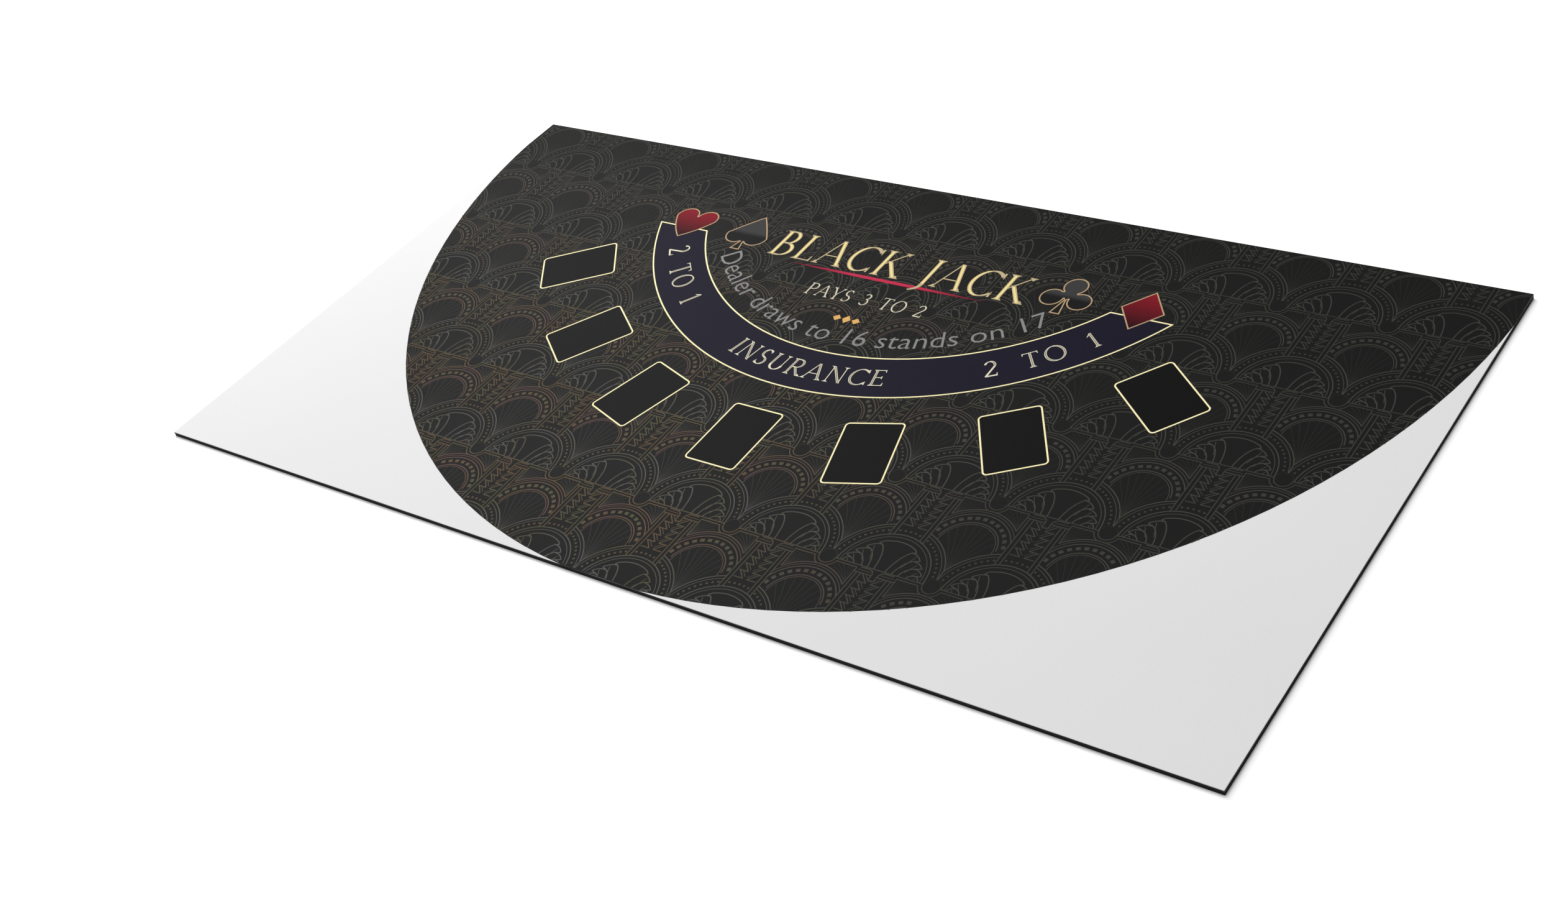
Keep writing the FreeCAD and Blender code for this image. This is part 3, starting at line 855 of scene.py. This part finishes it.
def cut_to(coverage, lines):
    """Cuts each line, an array (lines, points, 2), where the ground is covered. A point inside and
    one outside are drawn together by halving until they meet at the border."""
    count, n, _ = lines.shape
    open_at = coverage.open(lines.reshape(-1, 2)).reshape(count, n)
    start, end = lines[:, :-1], lines[:, 1:]
    change = open_at[:, :-1] != open_at[:, 1:]
    inner = np.where(open_at[:, :-1, None], start, end)[change]
    outer = np.where(open_at[:, :-1, None], end, start)[change]
    for _ in range(HALVINGS):
        middle = (inner + outer) / 2
        good = coverage.open(middle)[:, None]
        inner, outer = np.where(good, middle, inner), np.where(good, outer, middle)
    border = np.zeros((count, n - 1, 2))
    border[change] = inner
    runs = []
    for k in np.flatnonzero(open_at.any(axis=1)):
        edges = np.flatnonzero(np.diff(np.concatenate([[False], open_at[k], [False]]).astype(int)))
        for first, last in edges.reshape(-1, 2):
            run = [lines[k, first:last]]
            if first:
                run.insert(0, border[k, first - 1][None])
            if last < n:
                run.append(border[k, last - 1][None])
            run = np.vstack(run)
            if np.linalg.norm(np.diff(run, axis=0), axis=1).sum() > SHORTEST:
                runs.append(run)
    return runs


def divided(points):
    """The same line with straight stretches divided, so that none is longer than LONGEST."""
    parts = [points[:1]]
    for a, b in zip(points, points[1:]):
        count = max(1, int(math.ceil(np.linalg.norm(b - a) / LONGEST)))
        parts.append(a + (b - a) * np.linspace(0, 1, count + 1)[1:, None])
    return np.vstack(parts)


class LAYOUT_OT_linework(Piece, bpy.types.Operator):
    """Fans, plumes, arches, columns and beads printed over the ground"""
    bl_idname = "layout.linework"
    bl_label = "Fan linework"

    def build(self, sizes, inks):
        tile = sizes.fan_tile / TILE_STEP
        columns, rows = np.meshgrid(COLUMNS, ROWS)
        homes = LATTICE + sizes.fan_tile * np.column_stack([columns.ravel(), rows.ravel()])
        coverage = Coverage()
        base = top_of("ground_print")
        ink = {}
        for name, other in (("grey", "olive"), ("olive", "brown"), ("brown", "olive"),
                            ("mauve", "brown"), ("faint", "faint")):
            ink[name] = knit_print("linework_%s_ink" % name, getattr(inks, "line_" + name), 0.25,
                                   getattr(inks, "line_" + other), hue_share, linework_fade_and_painted_light)
        groups = (
            ("ray_linework", ray_lines() + spandrel_lines(), ink["faint"]),
            ("arch_linework", arch_lines(), ink["mauve"]),
            ("plume_linework", plume_lines(), ink["grey"]),
            ("row_linework", row_lines(), ink["olive"]),
            ("fan_linework", fan_lines(), ink["grey"]),
            ("column_linework", column_lines(), ink["brown"]),
        )
        top = base + LINE_LOW
        for name, drawing, colour in groups:
            solids = []
            for points, bold in drawing:
                top += LINE_STEP
                width = sizes.bold_line if bold else sizes.fine_line
                repeat = homes[:, None] + divided(points * tile)[None]
                for run in cut_to(coverage, repeat):
                    solids.append(strip(run, width, base, top))
            add_piece(name, joined(solids), colour, "ground_ink")
        disc = ring(0, 0, ROUND_BEAD * tile, ROUND_BEAD * tile, 0, 315, 45)
        square = np.array([(-1, -1), (1, -1), (1, 1), (-1, 1)]) * SQUARE_BEAD * tile
        beads = (("fan_beads", fan_bead_places(), disc, ink["olive"]),
                 ("arch_beads", arch_bead_places(), square, ink["brown"]))
        for name, (places, turns), outline, colour in beads:
            centres = (homes[:, None] + places[None] * tile).reshape(-1, 2)
            turns = np.tile(turns, len(homes))
            clear = coverage.open(centres)
            for corner in outline[:: len(outline) // 4] * BEAD_ROOM:
                clear &= coverage.open(centres + corner)
            add_piece(name, pegs(centres[clear], turns[clear], outline, base, top), colour,
                      "ground_ink")


# ---- lettering ----------------------------------------------------------------------------------
# Thick and thin pen widths, as shares of the letters' height.
TITLE_PENS, PAYOUT_PENS, BAND_PENS = (0.110, 0.036), (0.088, 0.038), (0.098, 0.038)
# How much the letters are stretched, and a space's extra shares of the width left over.
PAYOUT_SPACING, BAND_SPACING = (1.05, 1.0), (1.12, 1.2)
# Heights above the print below. Where two layers overlap, the upper one is the higher.
TITLE_HEIGHT, TITLE_FACE_HEIGHT, PAYOUT_HEIGHT = 0.14 * MM, 0.17 * MM, 0.15 * MM
BAND_TEXT_HEIGHT, BAND_INLINE_HEIGHT, RULE_HEIGHT = 0.07 * MM, 0.10 * MM, 0.13 * MM
SWOOSH_MIDDLE, SWOOSH_DARK = 0.3, 0.15  # bright share of the underline, and how dark its ends get
RULE_CURVE_STEPS = 3
RULE_THINNING = -0.008      # moves the outlines of the house rule's letters inwards


class Capitals:
    """Serif capitals and figures, drawn with their height as 1, in strokes of a broad pen."""

    STRESS = math.radians(15)   # the slope of the pen's thinnest strokes
    SERIF = 0.022 / 0.048       # thickness of a serif's slab, in thin strokes
    SHOULDER = 0.09             # how far a serif's shoulders rise up the stem
    TICK = (0.06, 0.02)         # width of a tick at its arm and at its end
    CORE = (0.5, 0.006)         # a core's thick width as a share of its letter's, and its thin one
    STEM = 0.13                 # where the stems of most letters stand

    def __init__(self, thick, thin):
        self.thick = thick
        self.thin = thin

    def pen(self, points, weight=None):
        """A stroke's outline: half its width to each side. With no weight it is a broad pen's,
        thin + (thick - thin) * |sin of the angle between the stroke and the pen's stress|."""
        normal = offsets(points)
        if weight is None:
            along = np.gradient(points, axis=0)
            lean = np.abs(np.sin(np.arctan2(along[:, 1], along[:, 0]) - self.STRESS))
            weight = (self.thin + (self.thick - self.thin) * lean)[:, None]
        return np.vstack([points - normal * weight / 2, (points + normal * weight / 2)[::-1]])

    def serif(self, x, y, left=0.13, right=0.13, weight=None):
        """A bracketed serif: a thin slab whose shoulders rise to the stem as t to the power 2.2."""
        up = -1 if y > 0.5 else 1
        t = np.linspace(0, 1, 5)
        half = (weight or self.thick) / 2
        curve = self.SERIF * self.thin + self.SHOULDER * t ** 2.2
        lefts = np.column_stack([x - left + (left - half) * t, y + up * curve])
        rights = np.column_stack([x + right - (right - half) * t, y + up * curve])
        shape = np.vstack([[(x - left, y), (x + right, y)], rights, lefts[::-1]])
        return shape if up > 0 else shape[::-1]

    def tick(self, x, y, reach):
        """The upright serif at the end of an arm, reach up or down from it."""
        foot, end = self.TICK
        shape = np.array([(x - foot, y), (x, y), (x, y + reach), (x - end, y + reach)])
        return shape if reach > 0 else shape[::-1]

    def stem(self, x, low=0.0, high=1.0, weight=None):
        return self.pen(line(x, low, x, high), weight or self.thick)

    def bowl(self, x, low, high, reach):
        """The round of a B, D, P or R: out along the top, round, and back along the bottom."""
        middle, half = (low + high) / 2, (high - low) / 2 - self.thin / 2
        turn = ring(x, middle, reach, half, 90, -90)
        return self.pen(np.vstack([[(self.STEM, middle + half)], turn,
                                   [(self.STEM, middle - half)]]))

    def arc(self, *ellipse):
        """A stroke round part of an ellipse, which is given as to ring."""
        return self.pen(ring(*ellipse))

    def arm(self, x0, x1, y, weight=None):
        return self.pen(line(x0, y, x1, y), weight or self.thin)

    def leg(self, x0, y0, x1, y1, weight=None):
        """A slanting stroke with level ends."""
        steep = abs(y1 - y0) / math.hypot(x1 - x0, y1 - y0)
        half = (weight or self.thick) / (2 * steep)
        shape = np.array([(x0 - half, y0), (x0 + half, y0), (x1 + half, y1), (x1 - half, y1)])
        return shape if y1 > y0 else shape[::-1]

    def shapes(self):
        """Width and outlines of each capital and figure."""
        pen, serif, tick, stem = self.pen, self.serif, self.tick, self.stem
        bowl, arc, arm, leg, thin = self.bowl, self.arc, self.arm, self.leg, self.thin

        def hair_serif(x, y, left=0.11, right=0.11):
            return serif(x, y, left, right, thin)

        feet = [serif(0.13, 0, right=0.06), serif(0.13, 1, right=0.06)]
        p = [stem(0.13), bowl(0.32, 0.47, 1.0, 0.22), serif(0.13, 0), serif(0.13, 1, right=0.06)]
        hook = np.vstack([line(0.20, 1, 0.20, 0.05), bow(0.20, 0.0, 0.19, -0.18, -0.04, -0.27)])
        s_curve = np.vstack([ring(0.28, 0.745, 0.18, 0.235, 38, 250),
                             ring(0.27, 0.255, 0.21, 0.235, 70, -142)])
        two = np.vstack([ring(0.25, 0.74, 0.19, 0.235, 165, -30), [(0.06, 0.03)]])
        return {
            " ": (0.42, []),
            "A": (0.80, [leg(0.06, 0, 0.38, 1, thin), leg(0.73, 0, 0.40, 1), arm(0.17, 0.61, 0.36),
                         hair_serif(0.06, 0, 0.10), serif(0.73, 0)]),
            "B": (0.66, [stem(0.13), bowl(0.27, 0.5, 1.0, 0.20), bowl(0.30, 0.0, 0.53, 0.26)] + feet),
            "C": (0.78, [arc(0.44, 0.5, 0.38, 0.485, 42, 318), tick(0.76, 0.97, -0.22),
                         tick(0.76, 0.03, 0.20)]),
            "E": (0.60, [stem(0.13), arm(0.13, 0.52, 0.976), arm(0.13, 0.44, 0.52),
                         arm(0.13, 0.56, 0.024), tick(0.52, 1.0, -0.16), tick(0.56, 0.0, 0.19),
                         tick(0.44, 0.52, 0.09), tick(0.44, 0.52, -0.09)] + feet),
            "I": (0.28, [stem(0.14), serif(0.14, 0), serif(0.14, 1)]),
            "J": (0.34, [pen(hook), serif(0.20, 1)]),
            "K": (0.76, [stem(0.13), leg(0.15, 0.44, 0.62, 1, thin), leg(0.70, 0, 0.27, 0.60),
                         serif(0.13, 0), serif(0.13, 1), hair_serif(0.62, 1, 0.12, 0.10),
                         serif(0.71, 0)]),
            "L": (0.58, [stem(0.13), arm(0.13, 0.56, 0.024), tick(0.56, 0.0, 0.21),
                         serif(0.13, 0, right=0.06), serif(0.13, 1)]),
            "N": (0.84, [stem(0.13, weight=thin), leg(0.70, 0, 0.13, 1), stem(0.70, weight=thin),
                         hair_serif(0.13, 0), hair_serif(0.13, 1, 0.13, 0.02),
                         hair_serif(0.70, 1)]),
            "O": (0.84, [arc(0.42, 0.5, 0.36, 0.485, a, a + 180) for a in (90, 270)]),
            "P": (0.60, p),
            "R": (0.72, p + [leg(0.64, 0, 0.30, 0.50), serif(0.65, 0, 0.08, 0.14)]),
            "S": (0.56, [pen(s_curve), tick(0.45, 0.97, -0.17), tick(0.13, 0.03, 0.19)]),
            "T": (0.68, [stem(0.34), arm(0.03, 0.65, 0.976), tick(0.65, 1.0, -0.16),
                         (tick(-0.03, 1.0, -0.16) * (-1, 1))[::-1], serif(0.34, 0)]),
            "U": (0.80, [stem(0.15, 0.32), arc(0.40, 0.32, 0.25, 0.30, 180, 360),
                         stem(0.65, 0.32, weight=thin), serif(0.15, 1), hair_serif(0.65, 1)]),
            "Y": (0.72, [leg(0.34, 0.42, 0.08, 1), leg(0.38, 0.42, 0.64, 1, thin), stem(0.36, 0, 0.47),
                         serif(0.08, 1), hair_serif(0.64, 1), serif(0.36, 0)]),
            "1": (0.38, [stem(0.20), leg(0.04, 0.80, 0.20, 0.99, thin), serif(0.20, 0)]),
            "2": (0.56, [pen(two), arm(0.05, 0.50, 0.04, 0.08), tick(0.50, 0.02, 0.18)]),
            "3": (0.54, [arc(0.23, 0.77, 0.17, 0.205, 150, -85),
                         arc(0.22, 0.29, 0.22, 0.265, 85, -150)]),
        }

    def cores(self):
        """The same letters cut down to the middles of their thick strokes."""
        slim = Capitals(self.CORE[0] * self.thick, self.CORE[1])
        arc, stem, leg = slim.arc, slim.stem, slim.leg
        low, high = 0.03, 0.97

        def upright(x, foot=low):
            return stem(x, foot, high)

        inner = {
            " ": [],
            "A": [leg(0.72, low, 0.405, high)],
            "B": [upright(0.13), arc(0.27, 0.75, 0.20, 0.226, 65, -60),
                  arc(0.30, 0.265, 0.26, 0.24, 65, -70)],
            "C": [arc(0.44, 0.5, 0.38, 0.485, 110, 265)],
            "E": [upright(0.13)],
            "I": [upright(0.14)],
            "J": [upright(0.20)],
            "K": [upright(0.13), leg(0.68, low, 0.29, 0.56)],
            "L": [upright(0.13)],
            "N": [leg(0.68, low, 0.15, high)],
            "O": [arc(0.42, 0.5, 0.36, 0.485, 125, 255), arc(0.42, 0.5, 0.36, 0.485, -55, 75)],
            "R": [upright(0.13), arc(0.32, 0.735, 0.22, 0.24, 70, -70), leg(0.62, low, 0.31, 0.47)],
            "S": [arc(0.28, 0.745, 0.18, 0.235, 150, 245), arc(0.27, 0.255, 0.21, 0.235, 65, -30)],
            "T": [upright(0.34)],
            "U": [upright(0.15, 0.32)],
            "1": [upright(0.20)],
            "2": [arc(0.25, 0.74, 0.19, 0.235, 50, -25)],
        }
        whole = self.shapes()
        return {char: (whole[char][0], parts) for char, parts in inner.items()}


def set_line(words, shapes, cap, width, stretch=1.0, word_share=0.0):
    """Sets words along X. The letters share out the width that is left over, and each space takes
    word_share more shares than a letter does."""
    natural = sum(shapes[c][0] for c in words) * cap * stretch
    gap = (width - natural) / (len(words) - 1 + word_share * words.count(" "))
    outlines, x = [], -width / 2
    for char in words:
        wide, parts = shapes[char]
        outlines.append([part * (cap * stretch, cap) + (x, 0.0) for part in parts])
        x += wide * cap * stretch + gap * (1 + word_share * (char == " "))
    return outlines


def bent(points, radius, middle):
    """Bends plan points round the band's centre: X runs along the arc, Y towards the centre."""
    angle = middle + points[:, 0] / radius
    reach = radius - points[:, 1]
    return np.column_stack([reach * np.sin(angle), BAND_CENTRE_Y - reach * np.cos(angle)])


def letters(outlines, low, high, place):
    """Each letter's strokes merged into one closed plate, its plan points moved by place."""
    solids = []
    for parts in outlines:
        if parts:
            points, triangles = merged(parts)
            solids.append(prism(place(points), triangles, low, high))
    return joined(solids)


def arc_of(node):
    """Foot radius, cap height, middle angle and span of a node's letters about the band's centre."""
    points = footprint(node).reshape(-1, 2) - (0, BAND_CENTRE_Y)
    reach = np.hypot(points[:, 0], points[:, 1])
    angle = np.arctan2(points[:, 0], -points[:, 1])
    return reach.max(), np.ptp(reach), (angle.max() + angle.min()) / 2, np.ptp(angle)


def print_words(name, node, place, base, height, material, slot, *setting):
    """Makes one piece of set words, height above the base, standing for a node of the frame."""
    solid = letters(set_line(*setting), base, base + height, place)
    add_piece(name, solid, material, slot, node)


class LAYOUT_OT_title(Piece, bpy.types.Operator):
    """The title, its underline, the payout line and the header ornament"""
    bl_idname = "layout.title"
    bl_label = "Title and payout"

    def build(self, sizes, inks):
        edge = knit_print("title_ink", inks.title_edge, 0.14)
        face = knit_print("title_face_ink", inks.title_face, 0.10)
        cream = knit_print("payout_ink", inks.payout, 0.14)
        base = top_of("ground_print")
        title, payout = Capitals(*TITLE_PENS), Capitals(*PAYOUT_PENS)
        for name, node, height, ink, words, shapes, spacing in (
                ("title_capitals", "title_lettering", TITLE_HEIGHT, edge, "BLACK JACK",
                 title.shapes(), ()),
                ("title_faces", "title_lettering", TITLE_FACE_HEIGHT, face, "BLACK JACK",
                 title.cores(), ()),
                ("payout_capitals", "payout_lettering", PAYOUT_HEIGHT, cream, "PAYS 3 TO 2",
                 payout.shapes(), PAYOUT_SPACING)):
            low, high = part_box(node)

            def in_box(points):
                return points + ((low.x + high.x) / 2, low.y)

            print_words(name, node, in_box, base, height, ink, "title_ink",
                        words, shapes, high.y - low.y, high.x - low.x, *spacing)
        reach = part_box("title_swoosh")[1].x

        def tails(finish, at, x, y):
            return finish.ramp(x.size(), SWOOSH_MIDDLE * reach, reach)

        dark = tuple(SWOOSH_DARK * c for c in inks.swoosh)
        dress("title_swoosh", knit_print("swoosh_ink", inks.swoosh, 0.2, dark, tails))
        dress("header_ornament", knit_print("ornament_ink", inks.ornament, 0.25))


class LAYOUT_OT_band_lettering(Piece, bpy.types.Operator):
    """The capitals on the insurance band, with a darker core in their thick strokes"""
    bl_idname = "layout.band_lettering"
    bl_label = "Band lettering"

    def build(self, sizes, inks):
        cream = knit_print("band_text_ink", inks.band_text, 0.14)
        core = knit_print("band_inline_ink", inks.band_inline, 0.14)
        base = top_of("insurance_band")
        drawn = Capitals(*BAND_PENS)
        layers = (("capitals", drawn.shapes(), cream, BAND_TEXT_HEIGHT),
                  ("inline", drawn.cores(), core, BAND_INLINE_HEIGHT))
        for words, node in (("INSURANCE", "insurance_lettering"), ("2 TO 1", "odds_lettering_left"),
                            ("2 TO 1", "odds_lettering_right")):
            radius, cap, middle, span = arc_of(node)

            def on_band(points):
                return bent(points, radius, middle)

            for suffix, shapes, ink, height in layers:
                print_words(node.replace("lettering", suffix), node, on_band, base, height, ink,
                            "band_text_ink", words, shapes, cap, span * radius, *BAND_SPACING)


class LAYOUT_OT_house_rule(Piece, bpy.types.Operator):
    """The curved house rule in plain sans letters inside the band"""
    bl_idname = "layout.house_rule"
    bl_label = "House rule"

    def build(self, sizes, inks):
        radius, _, middle, span = arc_of("dealer_lettering")
        text = bpy.data.curves.new("house_rule_text", "FONT")
        text.body = "Dealer draws to 16 stands on 17"
        text.align_x = "CENTER"
        text.resolution_u = RULE_CURVE_STEPS
        text.offset = RULE_THINNING
        holder = bpy.data.objects.new("house_rule_text", text)
        mesh = bpy.data.meshes.new_from_object(holder)
        patches = triangles_of(mesh)[:, :, :2]
        patches = patches * (span * radius / np.ptp(patches[:, :, 0]))
        turn = turn_of(patches)
        patches = np.where(turn[:, None, None] < 0, patches[:, ::-1], patches)[np.abs(turn) > TINY]
        plan, triangles = merged(list(patches))
        base = top_of("ground_print")
        solid = prism(bent(plan, radius, middle), triangles, base, base + RULE_HEIGHT)
        bpy.data.objects.remove(holder)
        bpy.data.curves.remove(text)
        bpy.data.meshes.remove(mesh)
        add_piece("house_rule_letters", solid, knit_print("rule_ink", inks.rule, 0.2),
                  "rule_ink", "dealer_lettering")


# ---- studio -------------------------------------------------------------------------------------
def aim(thing, where, target):
    thing.location = where
    thing.rotation_euler = (Vector(target) - Vector(where)).to_track_quat("-Z", "Y").to_euler()


FLOOR_HALF = 30.0 * WIDTH
SUN_ANGLE = math.radians(50)            # how wide the overhead light looks: it makes shadows soft
SUN_FROM = (-0.35, 0.25, 1.0)           # where the lights stand, in widths of the mat
KEY_FROM = (-1.36, 0.74, 1.15)
KEY_SIZE = 1.3 * WIDTH


class LAYOUT_OT_stage(bpy.types.Operator):
    """The pale floor, the soft lights and the camera"""
    bl_idname = "layout.stage"
    bl_label = "Stage"

    def execute(self, context):
        scene, view = context.scene, context.scene.layout_view
        mesh = bpy.data.meshes.new("studio_floor")
        corners = [(x * FLOOR_HALF, y * FLOOR_HALF, 0) for x, y in ((-1, -1), (1, -1), (1, 1), (-1, 1))]
        mesh.from_pydata(corners, [], [(0, 1, 2, 3)])
        mesh.materials.append(painted_floor("floor_paint", view.floor))
        floor = bpy.data.objects.new("studio_floor", mesh)
        scene.collection.objects.link(floor)

        world = bpy.data.worlds.new("studio_world")
        world.use_nodes = True
        sky = world.node_tree.nodes["Background"]
        sky.inputs["Color"].default_value = (1.0, 1.0, 1.0, 1.0)
        sky.inputs["Strength"].default_value = view.sky
        scene.world = world
        sun = bpy.data.lights.new("overhead_light", "SUN")
        sun.energy = view.overhead
        sun.angle = SUN_ANGLE
        key = bpy.data.lights.new("key_light", "AREA")
        key.shape = "DISK"
        key.size = KEY_SIZE
        key.energy = view.key
        for light, where in ((sun, SUN_FROM), (key, KEY_FROM)):
            lamp = bpy.data.objects.new(light.name, light)
            scene.collection.objects.link(lamp)
            aim(lamp, Vector(where) * WIDTH, (0, 0, 0))

        lens = bpy.data.cameras.new("studio_camera")
        lens.lens = lens.sensor_width * view.focal
        lens.shift_x = view.shift
        lens.clip_start, lens.clip_end = 0.01, 100.0
        camera = bpy.data.objects.new("studio_camera", lens)
        scene.collection.objects.link(camera)
        a, e, roll = view.azimuth, view.elevation, view.roll
        back = Vector((math.sin(a) * math.cos(e), -math.cos(a) * math.cos(e), math.sin(e)))
        right = Vector((math.cos(a), math.sin(a), 0))
        up = back.cross(right)
        side = right * math.cos(roll) + up * math.sin(roll)
        upright = up * math.cos(roll) - right * math.sin(roll)
        turn = Matrix((side, upright, back)).transposed().to_4x4()
        spot = Vector((view.aim_x, view.aim_y, 0)) + back * view.distance
        camera.matrix_world = Matrix.Translation(spot) @ turn
        scene.camera = camera
        scene.view_settings.view_transform = "Standard"
        return {"FINISHED"}


PIECES = (LAYOUT_OT_rubber, LAYOUT_OT_face_cloth, LAYOUT_OT_print_areas, LAYOUT_OT_suits,
          LAYOUT_OT_linework, LAYOUT_OT_title, LAYOUT_OT_band_lettering, LAYOUT_OT_house_rule,
          LAYOUT_OT_stage)


class LAYOUT_PT_panel(bpy.types.Panel):
    """Sidebar panel with the mat's pieces, sizes and inks"""
    bl_label = "Layout mat"
    bl_idname = "LAYOUT_PT_panel"
    bl_space_type = "VIEW_3D"
    bl_region_type = "UI"
    bl_category = "Layout mat"

    def draw(self, context):
        for piece in PIECES:
            self.layout.operator(piece.bl_idname)
        scene = context.scene
        for group in (scene.layout_sizes, scene.layout_inks, scene.layout_view):
            box = self.layout.box()
            for name in type(group).__annotations__:
                box.prop(group, name)


CLASSES = (LayoutSizes, InkColours, StudioView) + PIECES + (LAYOUT_PT_panel,)


def register():
    for cls in CLASSES:
        bpy.utils.register_class(cls)
    bpy.types.Scene.layout_sizes = PointerProperty(type=LayoutSizes)
    bpy.types.Scene.layout_inks = PointerProperty(type=InkColours)
    bpy.types.Scene.layout_view = PointerProperty(type=StudioView)


def unregister():
    del bpy.types.Scene.layout_view
    del bpy.types.Scene.layout_inks
    del bpy.types.Scene.layout_sizes
    for cls in reversed(CLASSES):
        bpy.utils.unregister_class(cls)


def main():
    """Makes every piece in order."""
    register()
    for piece in PIECES:
        group, name = piece.bl_idname.split(".")
        if getattr(getattr(bpy.ops, group), name)() != {"FINISHED"}:
            raise RuntimeError(piece.bl_idname + " did not finish")


if __name__ == "__main__":
    main()
